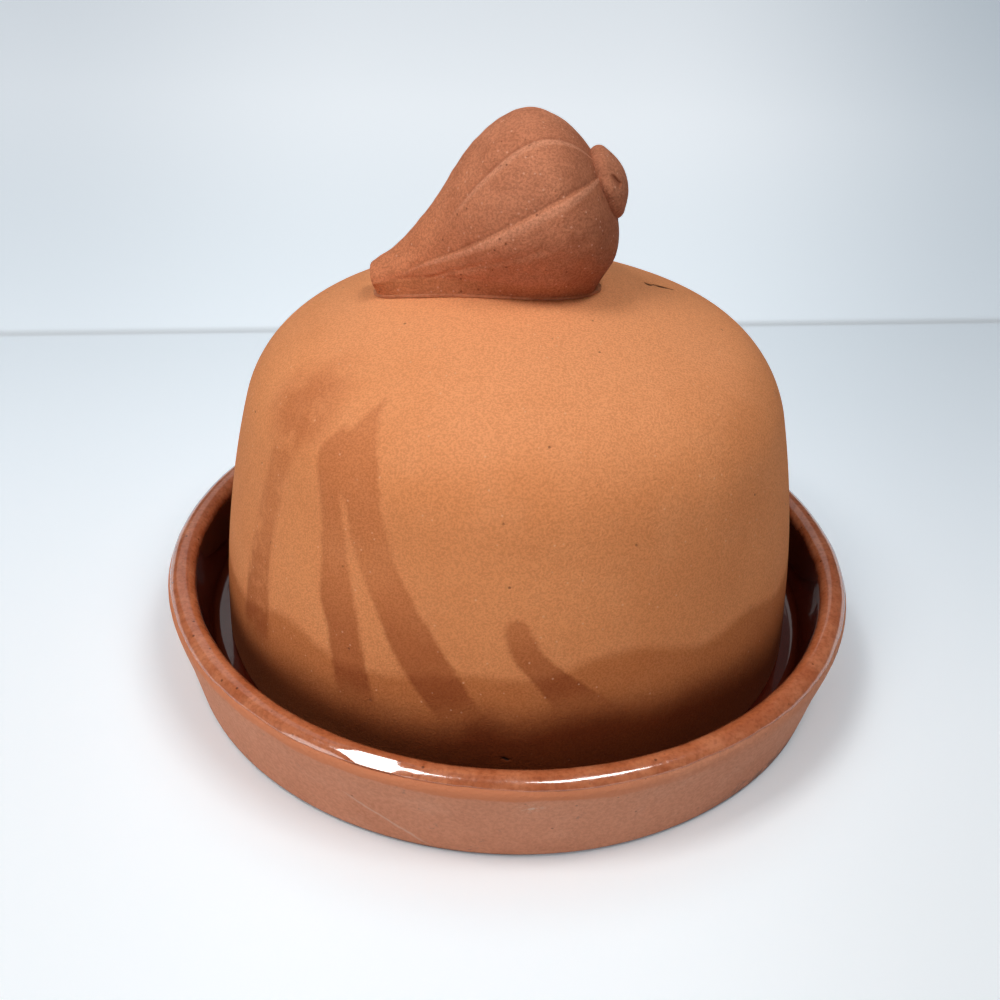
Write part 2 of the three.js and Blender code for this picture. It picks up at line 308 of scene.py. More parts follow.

# The end of the coat creeps up and down the lip, and its surface over the inner wall and the lip is a little
# wavy.
for vert in coat.verts:
    reach = math.hypot(vert.co.x, vert.co.y) / MM
    if reach < 1:
        continue
    around = Vector((vert.co.x, vert.co.y, 0)) / (reach * MM)
    across, rise = reach - LIP_CENTRE[0], vert.co.z / MM - LIP_CENTRE[1]
    if across > 0 and rise > 0:
        lip_turn = math.atan2(rise, across)
        creep = noise.noise(around * 2.1) * 7 + noise.noise(around * 7 + Vector((3, 1, 0))) * 5
        creep += noise.noise(around * 23 + Vector((0, 4, 2))) * 2.5
        lip_turn += math.radians(creep) * (1 - ease(lip_turn, GLAZE_END, math.radians(80)))
        lip_reach = math.hypot(across, rise)
        vert.co = around * (LIP_CENTRE[0] + lip_reach * math.cos(lip_turn)) * MM
        vert.co.z = (LIP_CENTRE[1] + lip_reach * math.sin(lip_turn)) * MM
        flatten_lip(vert.co, LIP_RADIUS + GLAZE_TOP)
    swell = 0.14 * noise.noise(vert.co * 90) + 0.05 * noise.noise(vert.co * 330)
    vert.co -= around * MM * (0.1 + swell) * ease(reach, FLOOR_EDGE, LIP_CENTRE[0])

glaze, tree, surface, place = new_finish("brown_glaze")
height = tree.nodes.new("ShaderNodeSeparateXYZ")
feed(tree, place, height.inputs["Vector"])
patches = mottle(tree, place, 7, 5, 0.6)
# Below the lip the colour turns very dark: partly pooled glaze, partly painted shade of the well between dome
# and wall.
streaky = reckon(tree, "MULTIPLY", reckon(tree, "SUBTRACT", patches, 0.5), 0.0016)
pooled_and_shaded = between(tree, reckon(tree, "ADD", height.outputs["Z"], streaky), 0.0192, 0.0213, 1, 0)
lip_colour = tint(tree, between(tree, patches, 0.35, 0.7), (0.50, 0.135, 0.05, 1), (0.66, 0.225, 0.10, 1))
colour = tint(tree, pooled_and_shaded, lip_colour, (0.085, 0.010, 0.004, 1))
fine = mottle(tree, place, 0.9, 3, 0.6)
colour = tint(tree, between(tree, fine, 0.4, 0.7), colour, (0.78, 0.72, 0.70, 1), "MULTIPLY")
specks = between(tree, grit(tree, place, 3.1), 0.05, 0.12, 0.7, 0)
colour = tint(tree, specks, colour, (0.05, 0.012, 0.006, 1))
feed(tree, colour, surface.inputs["Base Color"])
feed(tree, between(tree, patches, 0.3, 0.7, 0.12, 0.26), surface.inputs["Roughness"])
surface.inputs["Specular IOR Level"].default_value = 0.5
surface.inputs["Coat Weight"].default_value = 1.0
surface.inputs["Coat IOR"].default_value = 1.72
surface.inputs["Coat Roughness"].default_value = 0.04
ripple = relief(tree, mottle(tree, place, 2.4, 2), 0.1)
feed(tree, relief(tree, mottle(tree, place, 0.7, 2), 0.03, ripple), surface.inputs["Normal"])
fired_piece(coat, "glaze_coat", glaze, "saucer_glaze", "base")

# Dome lid: a bell of light orange earthenware, thrown to an even wall and fired without glaze.
# It stands loose on the glazed floor. Juice from roasting has run down it and soaked its foot dark. Painted
# shade darkens the foot further where it stands in the saucer's well, and painted light makes its crown
# paler.
LID_FOOT = 7.45
DOME_WALL = 6.0
WALL_ARC = 237.0
WALL_MIDDLE = (62.9 - WALL_ARC * math.cos(math.radians(1.8)), -WALL_ARC * math.sin(math.radians(1.8)))
SHOULDER_ARC = 22.7
SHOULDER_LOW = math.asin((52.7 - WALL_MIDDLE[1]) / WALL_ARC)
SHOULDER_MIDDLE = (WALL_MIDDLE[0] + (WALL_ARC - SHOULDER_ARC) * math.cos(SHOULDER_LOW),
                   WALL_MIDDLE[1] + (WALL_ARC - SHOULDER_ARC) * math.sin(SHOULDER_LOW))
CROWN_ARC = 100.0
CROWN_MIDDLE = SHOULDER_MIDDLE[1] - math.sqrt((CROWN_ARC - SHOULDER_ARC) ** 2 - SHOULDER_MIDDLE[0] ** 2)
SHOULDER_HIGH = math.atan2(SHOULDER_MIDDLE[1] - CROWN_MIDDLE, SHOULDER_MIDDLE[0])
VENT_RADIUS = 2.5
FOOT_EDGE = 1.1

dome = bmesh.new()
vent_turn = math.acos(VENT_RADIUS / CROWN_ARC)
foot_turn = math.asin((FOOT_EDGE - WALL_MIDDLE[1]) / (WALL_ARC - FOOT_EDGE))
inner_vent = math.acos(VENT_RADIUS / (CROWN_ARC - DOME_WALL))
inner_foot = math.asin((FOOT_EDGE - WALL_MIDDLE[1]) / (WALL_ARC - DOME_WALL + FOOT_EDGE))
first = pen = start_at(dome, VENT_RADIUS, CROWN_MIDDLE + CROWN_ARC * math.sin(vent_turn))
pen = arc_about(dome, pen, (0, CROWN_MIDDLE), SHOULDER_HIGH - vent_turn, 42)
pen = arc_about(dome, pen, SHOULDER_MIDDLE, SHOULDER_LOW - SHOULDER_HIGH, 20)
pen = arc_about(dome, pen, WALL_MIDDLE, foot_turn - SHOULDER_LOW, 52)
pen = arc_about(dome, pen, (pen.co.x / MM - FOOT_EDGE, FOOT_EDGE), -math.pi / 2, 4)
inner_edge = WALL_MIDDLE[0] + (WALL_ARC - DOME_WALL + FOOT_EDGE) * math.cos(inner_foot)
pen = line_to(dome, pen, inner_edge, 0, cuts=2)
pen = arc_about(dome, pen, (inner_edge, FOOT_EDGE), -math.pi / 2, 4)
pen = arc_about(dome, pen, WALL_MIDDLE, SHOULDER_LOW - inner_foot, 26)
pen = arc_about(dome, pen, SHOULDER_MIDDLE, SHOULDER_HIGH - SHOULDER_LOW, 8)
pen = arc_about(dome, pen, (0, CROWN_MIDDLE), inner_vent - SHOULDER_HIGH, 21)
dome.edges.new((pen, first))
turn_on_wheel(dome, 360)

# Each run of juice is a route of height, degrees round from the front, and width, from its top down. One is
# old and faint. The foot is soaked, and darkened by scorch and by painted shade of the well, up to a height
# at each of the degrees round from the front.
OLD_RUN = ((62, -50, 5), (58, -50.5, 8), (51, -51.5, 6.8), (34, -53, 7.8), (19, -53, 11))
RUNS = (
    ((64, -38, 1), (60, -38, 6), (51, -34.7, 5.4), (40, -31.9, 7), (35, -31, 8.4), (28, -28.8, 7.8),
     (12, -25, 9)),
    ((68, -33, 0.5), (63, -32.5, 7), (60, -31.4, 9.4), (53, -27.6, 8.2), (45, -24, 8.8),
     (36, -18.4, 9.6), (27, -13.1, 11), (16, -6, 10)),
    ((38.6, 2, 1.8), (37, 2.1, 4.4), (31.5, 4, 6.2), (26, 8.8, 8.4), (18, 16, 12)),
    ((47, 92, 2.4), (45.4, 92.2, 5), (38, 94, 5.2), (28, 97.5, 6.2), (12, 104, 9)),
    ((63, 142, 3), (61, 142.4, 6.2), (52, 145, 6), (40, 148.5, 6.8), (28, 151, 8), (12, 157, 10)),
    ((55, -142, 2.6), (53.2, -141.6, 5.4), (44, -138, 5.6), (33, -135, 6.8), (22, -131.5, 8), (10, -126, 11)),
    ((39, -101.5, 2), (37.6, -101.2, 4.2), (30, -98.5, 4.8), (22, -95, 6), (12, -91, 8)),
)
SOAKED = ((-180, 23), (-140, 28), (-100, 22), (-58, 21), (-43, 26), (-28, 23), (-6, 27), (5, 27), (21, 31),
          (38, 27), (50, 28), (66, 23.5), (100, 27), (140, 21), (180, 23))
SCORCHED_AND_SHADED = ((-180, 16), (-130, 19), (-90, 15), (-56, 15), (-40, 17.5), (-28, 17), (-8, 18), (-4, 21),
            (3, 19.5), (15, 22), (28, 20), (36, 20), (49, 17), (66, 13), (100, 16), (140, 20), (180, 16))
RUN_SPAN = 40
OUTSIDE = -12
OLD_FAINTNESS = 0.8
SMUDGE_TURN, SMUDGE_HEIGHT, SMUDGE_REACH = -52.5, 62.5, 12.5
NICK_START, NICK_END = Vector((26.2, 11.1)), Vector((32.6, 14.1))
NICK_HALF = 1.0
NICK_DEEP = 1.2
FOOT_NICK = (1.1, 8.9)
FOOT_NICK_DEEP = 0.5
DOME_UNEVEN = 0.35


def along(route, key, column):
    """The route's column where its first column reaches key, on a smooth curve through the route's points."""
    rising = route if route[0][0] < route[-1][0] else route[::-1]
    last = len(rising) - 1
    step = next((spot for spot in range(1, last) if key <= rising[spot][0]), last)
    before, after = rising[step - 1], rising[step]
    earlier, later = rising[max(step - 2, 0)], rising[min(step + 1, last)]
    span, gain = after[0] - before[0], after[column] - before[column]
    leaving = (after[column] - earlier[column]) / (after[0] - earlier[0]) * span
    arriving = (later[column] - before[column]) / (later[0] - before[0]) * span
    share = min(max((key - before[0]) / span, 0), 1)
    swing = leaving * (1 - share) - arriving * share + gain * (2 * share - 1)
    return before[column] + gain * share + swing * share * (1 - share)


def inside_run(route, turn, height, reach):
    """Millimetres inside the run's edge, negative outside it."""
    if abs(turn - route[0][1]) > RUN_SPAN:
        return OUTSIDE
    middle, width = along(route, height, 1), along(route, height, 2)
    sideways = width / 2 - abs(math.radians(turn - middle)) * reach
    return min(sideways, route[0][0] - height)


def nick_depth(x, y):
    """How far the chip in the crown is broken out: two bites at one end, running out to a tail."""
    line = NICK_END - NICK_START
    point = Vector((x, y)) - NICK_START
    share = point.dot(line) / line.length_squared
    aside = (point - line * share).length
    half = NICK_HALF * (1 - 0.6 * min(max(share, 0), 1)) * (0.7 + 0.3 * math.cos(min(share, 0.37) * 17))
    ends = ease(share, -0.1, 0.02) * (1 - ease(share, 0.85, 1.05))
    return (1 - ease(aside, half * 0.5, half * 1.2)) * ends


def foot_nick_depth(turn, height, reach):
    across, up = math.radians(turn - FOOT_NICK[0]) * reach, height - FOOT_NICK[1]
    return 1 - ease(math.hypot((across - up) * 0.62, up * 1.9 + 0.5 * math.sin(across * 3)), 0.25, 0.75)


def near_a_nick(face):
    middle = face.calc_center_median() / MM
    if face.normal.z > 0.5:
        return (middle.xy - (NICK_START + NICK_END) / 2).length < 6
    beside, above = abs(front_angle(middle) - FOOT_NICK[0]), abs(middle.z - FOOT_NICK[1])
    return middle.y < -60 and beside < 2.6 and above < 2.2


chipped = [face for face in dome.faces if near_a_nick(face)]
bmesh.ops.subdivide_edges(dome, edges=list({edge for face in chipped for edge in face.edges}),
                          cuts=4, use_grid_fill=True)
dome.normal_update()
run_field = dome.verts.layers.float.new("run")
smudge_field = dome.verts.layers.float.new("smudge")
soaked_field = dome.verts.layers.float.new("soaked")
scorched_and_shaded_field = dome.verts.layers.float.new("scorched_and_shaded")
nick_field = dome.verts.layers.float.new("nick")
for vert in dome.verts:
    height = vert.co.z / MM
    reach = math.hypot(vert.co.x, vert.co.y) / MM
    turn = front_angle(vert.co)
    vert[run_field] = max(max(inside_run(route, turn, height, reach) for route in RUNS), OUTSIDE)
    smudge_off = math.hypot(math.radians(turn - SMUDGE_TURN) * reach, (height - SMUDGE_HEIGHT) * 1.4)
    faint = OLD_FAINTNESS * ease(inside_run(OLD_RUN, turn, height, reach), -0.5, 0.8)
    vert[smudge_field] = max(1 - ease(smudge_off, 0.3 * SMUDGE_REACH, SMUDGE_REACH), faint)
    vert[soaked_field] = along(SOAKED, turn, 1) - height
    vert[scorched_and_shaded_field] = along(SCORCHED_AND_SHADED, turn, 1) - height
    around = Vector((vert.co.x, vert.co.y, 0)) / (reach * MM)
    free = ease(height, 0, 12) * ease(reach, 20, 50)
    vert.co += around * MM * DOME_UNEVEN * noise.noise(vert.co * 26) * free
    if vert.normal.z > 0.5 and height > 60:
        depth = nick_depth(vert.co.x / MM, vert.co.y / MM)
        vert[nick_field] = depth
        vert.co.z -= NICK_DEEP * MM * depth * (0.8 + 0.6 * noise.noise(vert.co * 1500))
    elif height < 15 and reach > 60:
        vert[nick_field] = foot_nick_depth(turn, height, reach)
        vert.co -= around * FOOT_NICK_DEEP * MM * vert[nick_field]
bmesh.ops.translate(dome, verts=dome.verts, vec=(0, 0, LID_FOOT * MM))

orange_clay, tree, surface, place = new_finish("orange_dome_clay")
cloud = between(tree, mottle(tree, place, 30, 3), 0.3, 0.7)
colour = tint(tree, cloud, (0.79, 0.289, 0.103, 1), (0.86, 0.326, 0.12, 1))
blotch = between(tree, mottle(tree, place, 8, 4, 0.6), 0.45, 0.75, 0, 0.5)
colour = tint(tree, blotch, colour, (0.84, 0.335, 0.135, 1))
ways = tree.nodes.new("ShaderNodeSeparateXYZ")
feed(tree, place, ways.inputs["Vector"])
# Painted light: the crown, from about 64 mm up, is made paler, as if lit from above.
drift = reckon(tree, "MULTIPLY", reckon(tree, "SUBTRACT", mottle(tree, place, 18, 4, 0.6), 0.5), 0.02)
crown_painted_light = between(tree, reckon(tree, "ADD", ways.outputs["Z"], drift), 0.064, 0.083, 0, 0.85)
colour = tint(tree, crown_painted_light, colour, (0.925, 0.378, 0.163, 1))
ragged = reckon(tree, "MULTIPLY", reckon(tree, "SUBTRACT", mottle(tree, place, 2.8, 4, 0.65), 0.5), 2.0)
run_edge = reckon(tree, "ADD", mark(tree, "run"), ragged)
run_amount = between(tree, run_edge, -0.6, 0.9, 0, 0.9)
smudge_cloud = between(tree, mottle(tree, place, 6, 4, 0.6), 0.25, 0.55)
run_amount = reckon(tree, "MAXIMUM", run_amount, reckon(tree, "MULTIPLY", mark(tree, "smudge"), smudge_cloud))
scorch_and_shade_edge = reckon(tree, "ADD", mark(tree, "scorched_and_shaded"), ragged)
run_amount = reckon(tree, "MULTIPLY", run_amount, between(tree, scorch_and_shade_edge, -3.5, 2.5, 1, 0.12))
run_tone = tint(tree, between(tree, mottle(tree, place, 14, 3), 0.3, 0.7),
                (0.83, 0.74, 0.69, 1), (0.76, 0.64, 0.58, 1))
run_tone = tint(tree, between(tree, ways.outputs["Z"], 0.036, 0.05, 0.8, 0), run_tone, (0.53, 0.37, 0.27, 1))
colour = tint(tree, run_amount, colour, run_tone, "MULTIPLY")
soak_edge = reckon(tree, "ADD", mark(tree, "soaked"), ragged)
soak_amount = between(tree, soak_edge, -1.1, 2.0, 0, 0.9)
colour = tint(tree, soak_amount, colour, (0.70, 0.58, 0.46, 1), "MULTIPLY")
# Painted shade: the dark band round the foot is partly scorch and partly painted shade of the saucer's well
# below its rim, and it is darker on the right, away from the lamps.
scorch_and_shade_amount = between(tree, scorch_and_shade_edge, -3.0, 8.0, 0, 0.97)
right_side_shade = between(tree, ways.outputs["X"], -0.034, 0.002, 0.76, 1)
scorch_and_shade_amount = reckon(tree, "MULTIPLY", scorch_and_shade_amount, right_side_shade)
colour = tint(tree, scorch_and_shade_amount, colour, (0.31, 0.15, 0.03, 1), "MULTIPLY")
sand = mottle(tree, place, 0.4, 3, 0.65)
colour = tint(tree, between(tree, sand, 0.42, 0.60), colour, (0.85, 0.81, 0.775, 1), "MULTIPLY")
pale_specks = between(tree, grit(tree, place, 2.6), 0.05, 0.1, 0.45, 0)
pale_specks = reckon(tree, "MULTIPLY", pale_specks, between(tree, scorch_and_shade_amount, 0, 0.5, 1, 0.06))
colour = tint(tree, pale_specks, colour, (0.90, 0.52, 0.30, 1))
shifted = tree.nodes.new("ShaderNodeVectorMath")
feed(tree, place, shifted.inputs[0])
shifted.inputs[1].default_value = (0.31, 0.17, 0.05)
dark_specks = between(tree, grit(tree, shifted.outputs["Vector"], 6.5), 0.02, 0.055, 0.7, 0)
colour = tint(tree, dark_specks, colour, (0.20, 0.06, 0.025, 1))
# Painted shade: the nicks in the crown and the foot are coloured near black.
colour = tint(tree, between(tree, mark(tree, "nick"), 0.03, 0.35), colour, (0.06, 0.022, 0.012, 1))
feed(tree, colour, surface.inputs["Base Color"])
feed(tree, between(tree, sand, 0.3, 0.7, 0.82, 0.96), surface.inputs["Roughness"])
surface.inputs["Specular IOR Level"].default_value = 0.25
coarse = relief(tree, mottle(tree, place, 2.6, 3), 0.16)
pitted = reckon(tree, "SUBTRACT", sand, reckon(tree, "MULTIPLY", dark_specks, 0.7))
feed(tree, relief(tree, pitted, 0.25, coarse), surface.inputs["Normal"])
fired_piece(dome, "fired_dome", orange_clay, "dome_lid", "lid")

# Slip bed: thin liquid clay brushed on the crown, into which the knob is pressed while both are damp.
# It fires a little paler than the knob, and shows as a narrow uneven bead round the knob's foot.
FOOT_FRONT = 28.8
FOOT_BACK = 15.5
FOOT_HALF = 9.25
STEM_HALF = 3.6
SLIP_SPREAD = 0.35
SLIP_RISE = 0.5
SLIP_LIFT = 0.2
SLIP_HOLE = 10
SLIP_DISC = 98


def crown_height(x, y):
    return CROWN_MIDDLE + math.sqrt(CROWN_ARC ** 2 - x ** 2 - y ** 2)


def foot_half(x):
    """Half the width of the knob's foot: blunt at the stem's end, round under the belly."""
    if x > 0:
        return FOOT_HALF * math.sqrt(max(1 - (x / FOOT_BACK) ** 2, 0))
    forward = min(-x / FOOT_FRONT, 1)
    return (FOOT_HALF + (STEM_HALF - FOOT_HALF) * forward ** 1.65) * math.sqrt(1 - forward ** 16)


slip = bmesh.new()
first = pen = start_at(slip, SLIP_HOLE, SLIP_LIFT)
pen = line_to(slip, pen, SLIP_DISC, SLIP_LIFT, cuts=9)
pen = arc_about(slip, pen, (SLIP_DISC, SLIP_LIFT + SLIP_RISE / 2), math.pi, 8)
pen = line_to(slip, pen, SLIP_HOLE, SLIP_LIFT + SLIP_RISE, cuts=9)
slip.edges.new((pen, first))
turn_on_wheel(slip, 160)

# The ring is drawn in from a round disc to the outline of the knob's foot, and laid on the crown.
for vert in slip.verts:
    disc = vert.co / MM / SLIP_DISC
    round_way = Vector((disc.x, disc.y, 0)).normalized()
    squeezed = SLIP_SPREAD * (0.75 + 0.7 * noise.noise(round_way * 3.4))
    reach = FOOT_BACK if disc.x > 0 else FOOT_FRONT
    across = max(min(disc.y / math.sqrt(max(1 - disc.x ** 2, 1e-6)), 1), -1)
    x, y = disc.x * (reach + squeezed), across * foot_half(disc.x * reach) + disc.y * squeezed
    vert.co = Vector((x, y, crown_height(x, y) + vert.co.z / MM + LID_FOOT)) * MM

pale_slip, tree, surface, place = new_finish("pale_slip_clay")
fine = mottle(tree, place, 0.7, 3, 0.6)
cloud = between(tree, mottle(tree, place, 4, 3), 0.3, 0.7)
colour = tint(tree, cloud, (0.52, 0.19, 0.09, 1), (0.63, 0.25, 0.125, 1))
colour = tint(tree, between(tree, fine, 0.4, 0.7), colour, (0.80, 0.75, 0.72, 1), "MULTIPLY")
feed(tree, colour, surface.inputs["Base Color"])
feed(tree, between(tree, fine, 0.3, 0.7, 0.8, 0.95), surface.inputs["Roughness"])
surface.inputs["Specular IOR Level"].default_value = 0.25
feed(tree, relief(tree, fine, 0.15), surface.inputs["Normal"])
fired_piece(slip, "slip_bead", pale_slip, "knob_slip", "lid")

# Garlic knob: a bulb of garlic lying on its side, pressed hollow in a two-part mould from a redder clay.
# Its skin is drawn in overlapping folds from the cut stem to the root, and its underside is pared to fit the
# crown.
STEM_REACH = 28.0
STEM_RISE = 1.0
BULB_TILT = math.radians(30.5)
BULB_LENGTH = 49.2
BELLY_STATION = 36.6
BELLY_RADIUS = 17.8
STEM_RADIUS = 4.8
STEM_ROUND = 0.7
BULB_NARROW = 0.95
FOLD_START = 32.0
FOLD_TURN = 45.0
FOLD_RELIEF = 0.07
PLINTH = 3.6
SOLE_TURN = 158.0
SOLE_STATION = 40.0
SOLE_LIFT = 0.35
STEM_CUT = (-29.8, 79.0, 0.2)
STEM_HEIGHT = crown_height(STEM_REACH, 0) + STEM_RISE
BULB_AXIS = Vector((math.cos(BULB_TILT), 0, math.sin(BULB_TILT)))
BULB_UP = Vector((-math.sin(BULB_TILT), 0, math.cos(BULB_TILT)))
BULB_SIDE = Vector((0, -1, 0))
STEM_END = Vector((-STEM_REACH, 0, STEM_HEIGHT))


def bulb_radius(station):
    if station < BELLY_STATION:
        return STEM_RADIUS + (BELLY_RADIUS - STEM_RADIUS) * ease((station / BELLY_STATION) ** 1.14, 0, 1)
    past = min((station - BELLY_STATION) / (BULB_LENGTH - BELLY_STATION), 1)
    return BELLY_RADIUS * math.sqrt(1 - past ** 3)


def fold_share(turn, station):
    """How far round its own fold of skin a place is, from 0 at the fold's raised edge to 1 at the next."""
    drawn_up = (2 + 10 * (1 - ease(station, 18, 46))) * math.exp(-((turn - 40) / 20) ** 2)
    drawn_down = 11 * (1 - ease(station, 7, 22)) * math.exp(-((turn - 72) / 20) ** 2)
    return ((turn - drawn_up + drawn_down - FOLD_START) / FOLD_TURN) % 1


def fold_height(turn, station):
    """The skin's height over the bulb: each fold starts with a raised edge and falls away to the next."""
    share = fold_share(turn, station)
    lip = ease(share, 0, 0.11) * (1 - share) ** 0.6
    belly = 4 * share * (1 - share)
    crease = math.exp(-((turn - 94.5 - 0.17 * station) / 2.6) ** 2)
    crease = crease * ease(station, 6, 14) * (1 - ease(station, 28, 40))
    reach = ease(station, 1, 30)
    faded = (1 - ease(station, 16, 30)) * math.exp(-((turn - FOLD_START - 8) / 18) ** 2)
    faded = max(faded, ease(abs(turn), 100, 120))
    rise = 0.62 * lip + 0.38 * belly
    return FOLD_RELIEF * reach * (rise + (0.4 - rise) * faded - 0.6) - 0.018 * crease


def bulb_place(station, turn, reach):
    swell = reach * (1 + fold_height(turn, station))
    up, side = math.cos(math.radians(turn)), math.sin(math.radians(turn))
    return STEM_END + BULB_AXIS * station + (BULB_UP * up + BULB_SIDE * side * BULB_NARROW) * swell


def brow_turn(station):
    """Degrees round the bulb, at a station, to where it comes down to the top of its low plinth."""
    above, below = 30, SOLE_TURN - 10
    for halving in range(20):
        middle = (above + below) / 2
        spot = bulb_place(station, middle, bulb_radius(station))
        if spot.z - crown_height(spot.x, spot.y) > PLINTH:
            above = middle
        else:
            below = middle
    return above


def sole_place(station, turn, share):
    """Where the pared underside lies on the crown, from the middle out to the foot's edge."""
    x = FOOT_BACK - (FOOT_BACK + FOOT_FRONT) * max(1 - station / SOLE_STATION, 0)
    outward = min((180 - abs(turn)) / (180 - SOLE_TURN), 1)
    y = -math.copysign(foot_half(x) * outward, turn)
    foot = Vector((x, y, crown_height(x, y) + SOLE_LIFT))
    middle = STEM_END + BULB_AXIS * station
    return middle + (foot - middle) * share


bulb = bmesh.new()
pen = start_at(bulb, 0, 0)
pen = line_to(bulb, pen, STEM_RADIUS - STEM_ROUND, 0, cuts=5)
pen = arc_about(bulb, pen, (STEM_RADIUS - STEM_ROUND, STEM_ROUND), math.pi / 2, 5)
for row in range(1, 71):
    station = STEM_ROUND + (BELLY_STATION - STEM_ROUND) * row / 70
    pen = line_to(bulb, pen, bulb_radius(station), station)
for row in range(1, 41):
    station = BELLY_STATION + (BULB_LENGTH - BELLY_STATION) * math.sin(math.pi / 2 * row / 40)
    pen = line_to(bulb, pen, bulb_radius(station), station)
turn_on_wheel(bulb, 320)

fold_field = bulb.verts.layers.float.new("fold")
underside_shade_field = bulb.verts.layers.float.new("pared")
brows = {}
for vert in bulb.verts:
    station = vert.co.z / MM
    reach = math.hypot(vert.co.x, vert.co.y) / MM
    turn = math.degrees(math.atan2(vert.co.x, vert.co.y))
    row = round(station, 3)
    if row not in brows:
        brows[row] = brow_turn(station)
    brow = brows[row]
    spot = bulb_place(station, turn, reach)
    outward = (spot - (STEM_END + BULB_AXIS * station)).normalized()
    uneven = noise.noise(spot * 0.11) * 0.5 + noise.noise(spot * 0.4 + Vector((7, 0, 0))) * 0.16
    fullness = 0.4 - 0.95 * ease(station, 2, 24)
    spot += outward * (uneven + fullness) * ease(reach, 0, 4) * (1 - ease(abs(turn), brow - 20, brow))
    spot -= outward * 0.16 * math.exp(-((abs(turn) - brow + 5) / 3) ** 2) * ease(station, 3, 8)
    if abs(turn) > brow:
        share = min(reach / bulb_radius(max(station, STEM_ROUND)), 1) if station < BELLY_STATION else 1
        down = min((abs(turn) - brow) / (SOLE_TURN - brow), 1)
        edge = bulb_place(station, math.copysign(brow, turn), reach)
        spot = spot.lerp(edge.lerp(sole_place(station, turn, share), down), 1 - ease(station, 37.5, 43))
    inside = spot.x - STEM_CUT[0] - (STEM_CUT[1] - spot.z) * STEM_CUT[2]
    spot.x += (math.hypot(inside, 0.5) - inside) / 2
    vert[underside_shade_field] = ease(abs(turn), brow - 6, brow + 2) * (1 - ease(station, 34, 42))
    share = fold_share(turn, station)
    edge = ease(share, 0.03, 0.09) * (1 - ease(share, 0.12, 0.24))
    edge -= 1 - ease(min(share, 1 - share), 0, 0.05)
    fresh = ease(station, 16, 30) if 0 < turn < FOLD_START + 26 else ease(station, 2, 16)
    vert[fold_field] = edge * fresh * (1 - ease(abs(turn), 100, 118))
    vert.co = (spot + Vector((0, 0, LID_FOOT))) * MM
bmesh.ops.recalc_face_normals(bulb, faces=bulb.faces)

red_clay, tree, surface, place = new_finish("red_knob_clay")
cloud = between(tree, mottle(tree, place, 11, 4, 0.6), 0.3, 0.7)
colour = tint(tree, cloud, (0.475, 0.167, 0.083, 1), (0.60, 0.232, 0.122, 1))
ways = tree.nodes.new("ShaderNodeSeparateXYZ")
feed(tree, place, ways.inputs["Vector"])
# Painted light and shade: the stem end, on the left towards the lamps, is made paler and warmer, and the root
# end on the right is darkened.
stemward_painted_light = between(tree, ways.outputs["X"], -0.026, 0.0, 1, 0)
colour = tint(tree, stemward_painted_light, colour, (1.16, 1.07, 0.93, 1), "MULTIPLY")
# Painted shade: the pared underside, low by the crown, is darkened.
colour = tint(tree, mark(tree, "pared"), colour, (0.88, 0.88, 0.80, 1), "MULTIPLY")
rootward_painted_shade = between(tree, ways.outputs["X"], 0.004, 0.015)
colour = tint(tree, rootward_painted_shade, colour, (0.74, 0.67, 0.62, 1), "MULTIPLY")
rubbed = between(tree, mark(tree, "fold"), 0.1, 0.9, 0, 0.4)
colour = tint(tree, rubbed, colour, (0.76, 0.35, 0.21, 1))
# Painted shade: the grooves between the folds, and the button's crack, are coloured dark.
groove_painted_shade = between(tree, mark(tree, "fold"), -2.0, -0.05, 0.8, 0)
colour = tint(tree, groove_painted_shade, colour, (0.25, 0.07, 0.032, 1))
sand = mottle(tree, place, 0.46, 3, 0.7)
grain = tint(tree, between(tree, sand, 0.42, 0.60), (1.1, 1.08, 1.06, 1), (0.84, 0.80, 0.77, 1))
colour = tint(tree, 1.0, colour, grain, "MULTIPLY")
pale_specks = between(tree, grit(tree, place, 1.7), 0.08, 0.16, 0.6, 0)
colour = tint(tree, pale_specks, colour, (0.74, 0.38, 0.25, 1))
shifted = tree.nodes.new("ShaderNodeVectorMath")
feed(tree, place, shifted.inputs[0])
shifted.inputs[1].default_value = (0.11, 0.23, 0.07)
dark_pits = between(tree, grit(tree, shifted.outputs["Vector"], 2.4), 0.05, 0.12, 0.7, 0)
colour = tint(tree, dark_pits, colour, (0.20, 0.06, 0.03, 1))
feed(tree, colour, surface.inputs["Base Color"])
feed(tree, between(tree, sand, 0.3, 0.7, 0.8, 0.96), surface.inputs["Roughness"])
surface.inputs["Specular IOR Level"].default_value = 0.28
coarse = relief(tree, mottle(tree, place, 2.2, 3), 0.2)
pitted = reckon(tree, "SUBTRACT", sand, reckon(tree, "MULTIPLY", dark_pits, 0.9))
feed(tree, relief(tree, pitted, 0.32, coarse), surface.inputs["Normal"])
fired_piece(bulb, "garlic_bulb", red_clay, "garlic_knob", "lid")

# Root button: a small bun of the knob's clay, pressed on the bulb's root end to close its mould hole.
# Its joint with the bulb is left rough, and a short drying crack shows in its side.
BUTTON_RADIUS = 6.9
BUTTON_EDGE = 1.9
BUTTON_BACK = BULB_LENGTH - 2.0
BUTTON_FACE_ARC = 9.55
BUTTON_DROP = 1.8
BUTTON_TILT = math.radians(22.5)
BUTTON_RUB = 0.46
CRACK_STATION = 50.9
CRACK_TURN = 72
CRACK_DEEP = 0.7

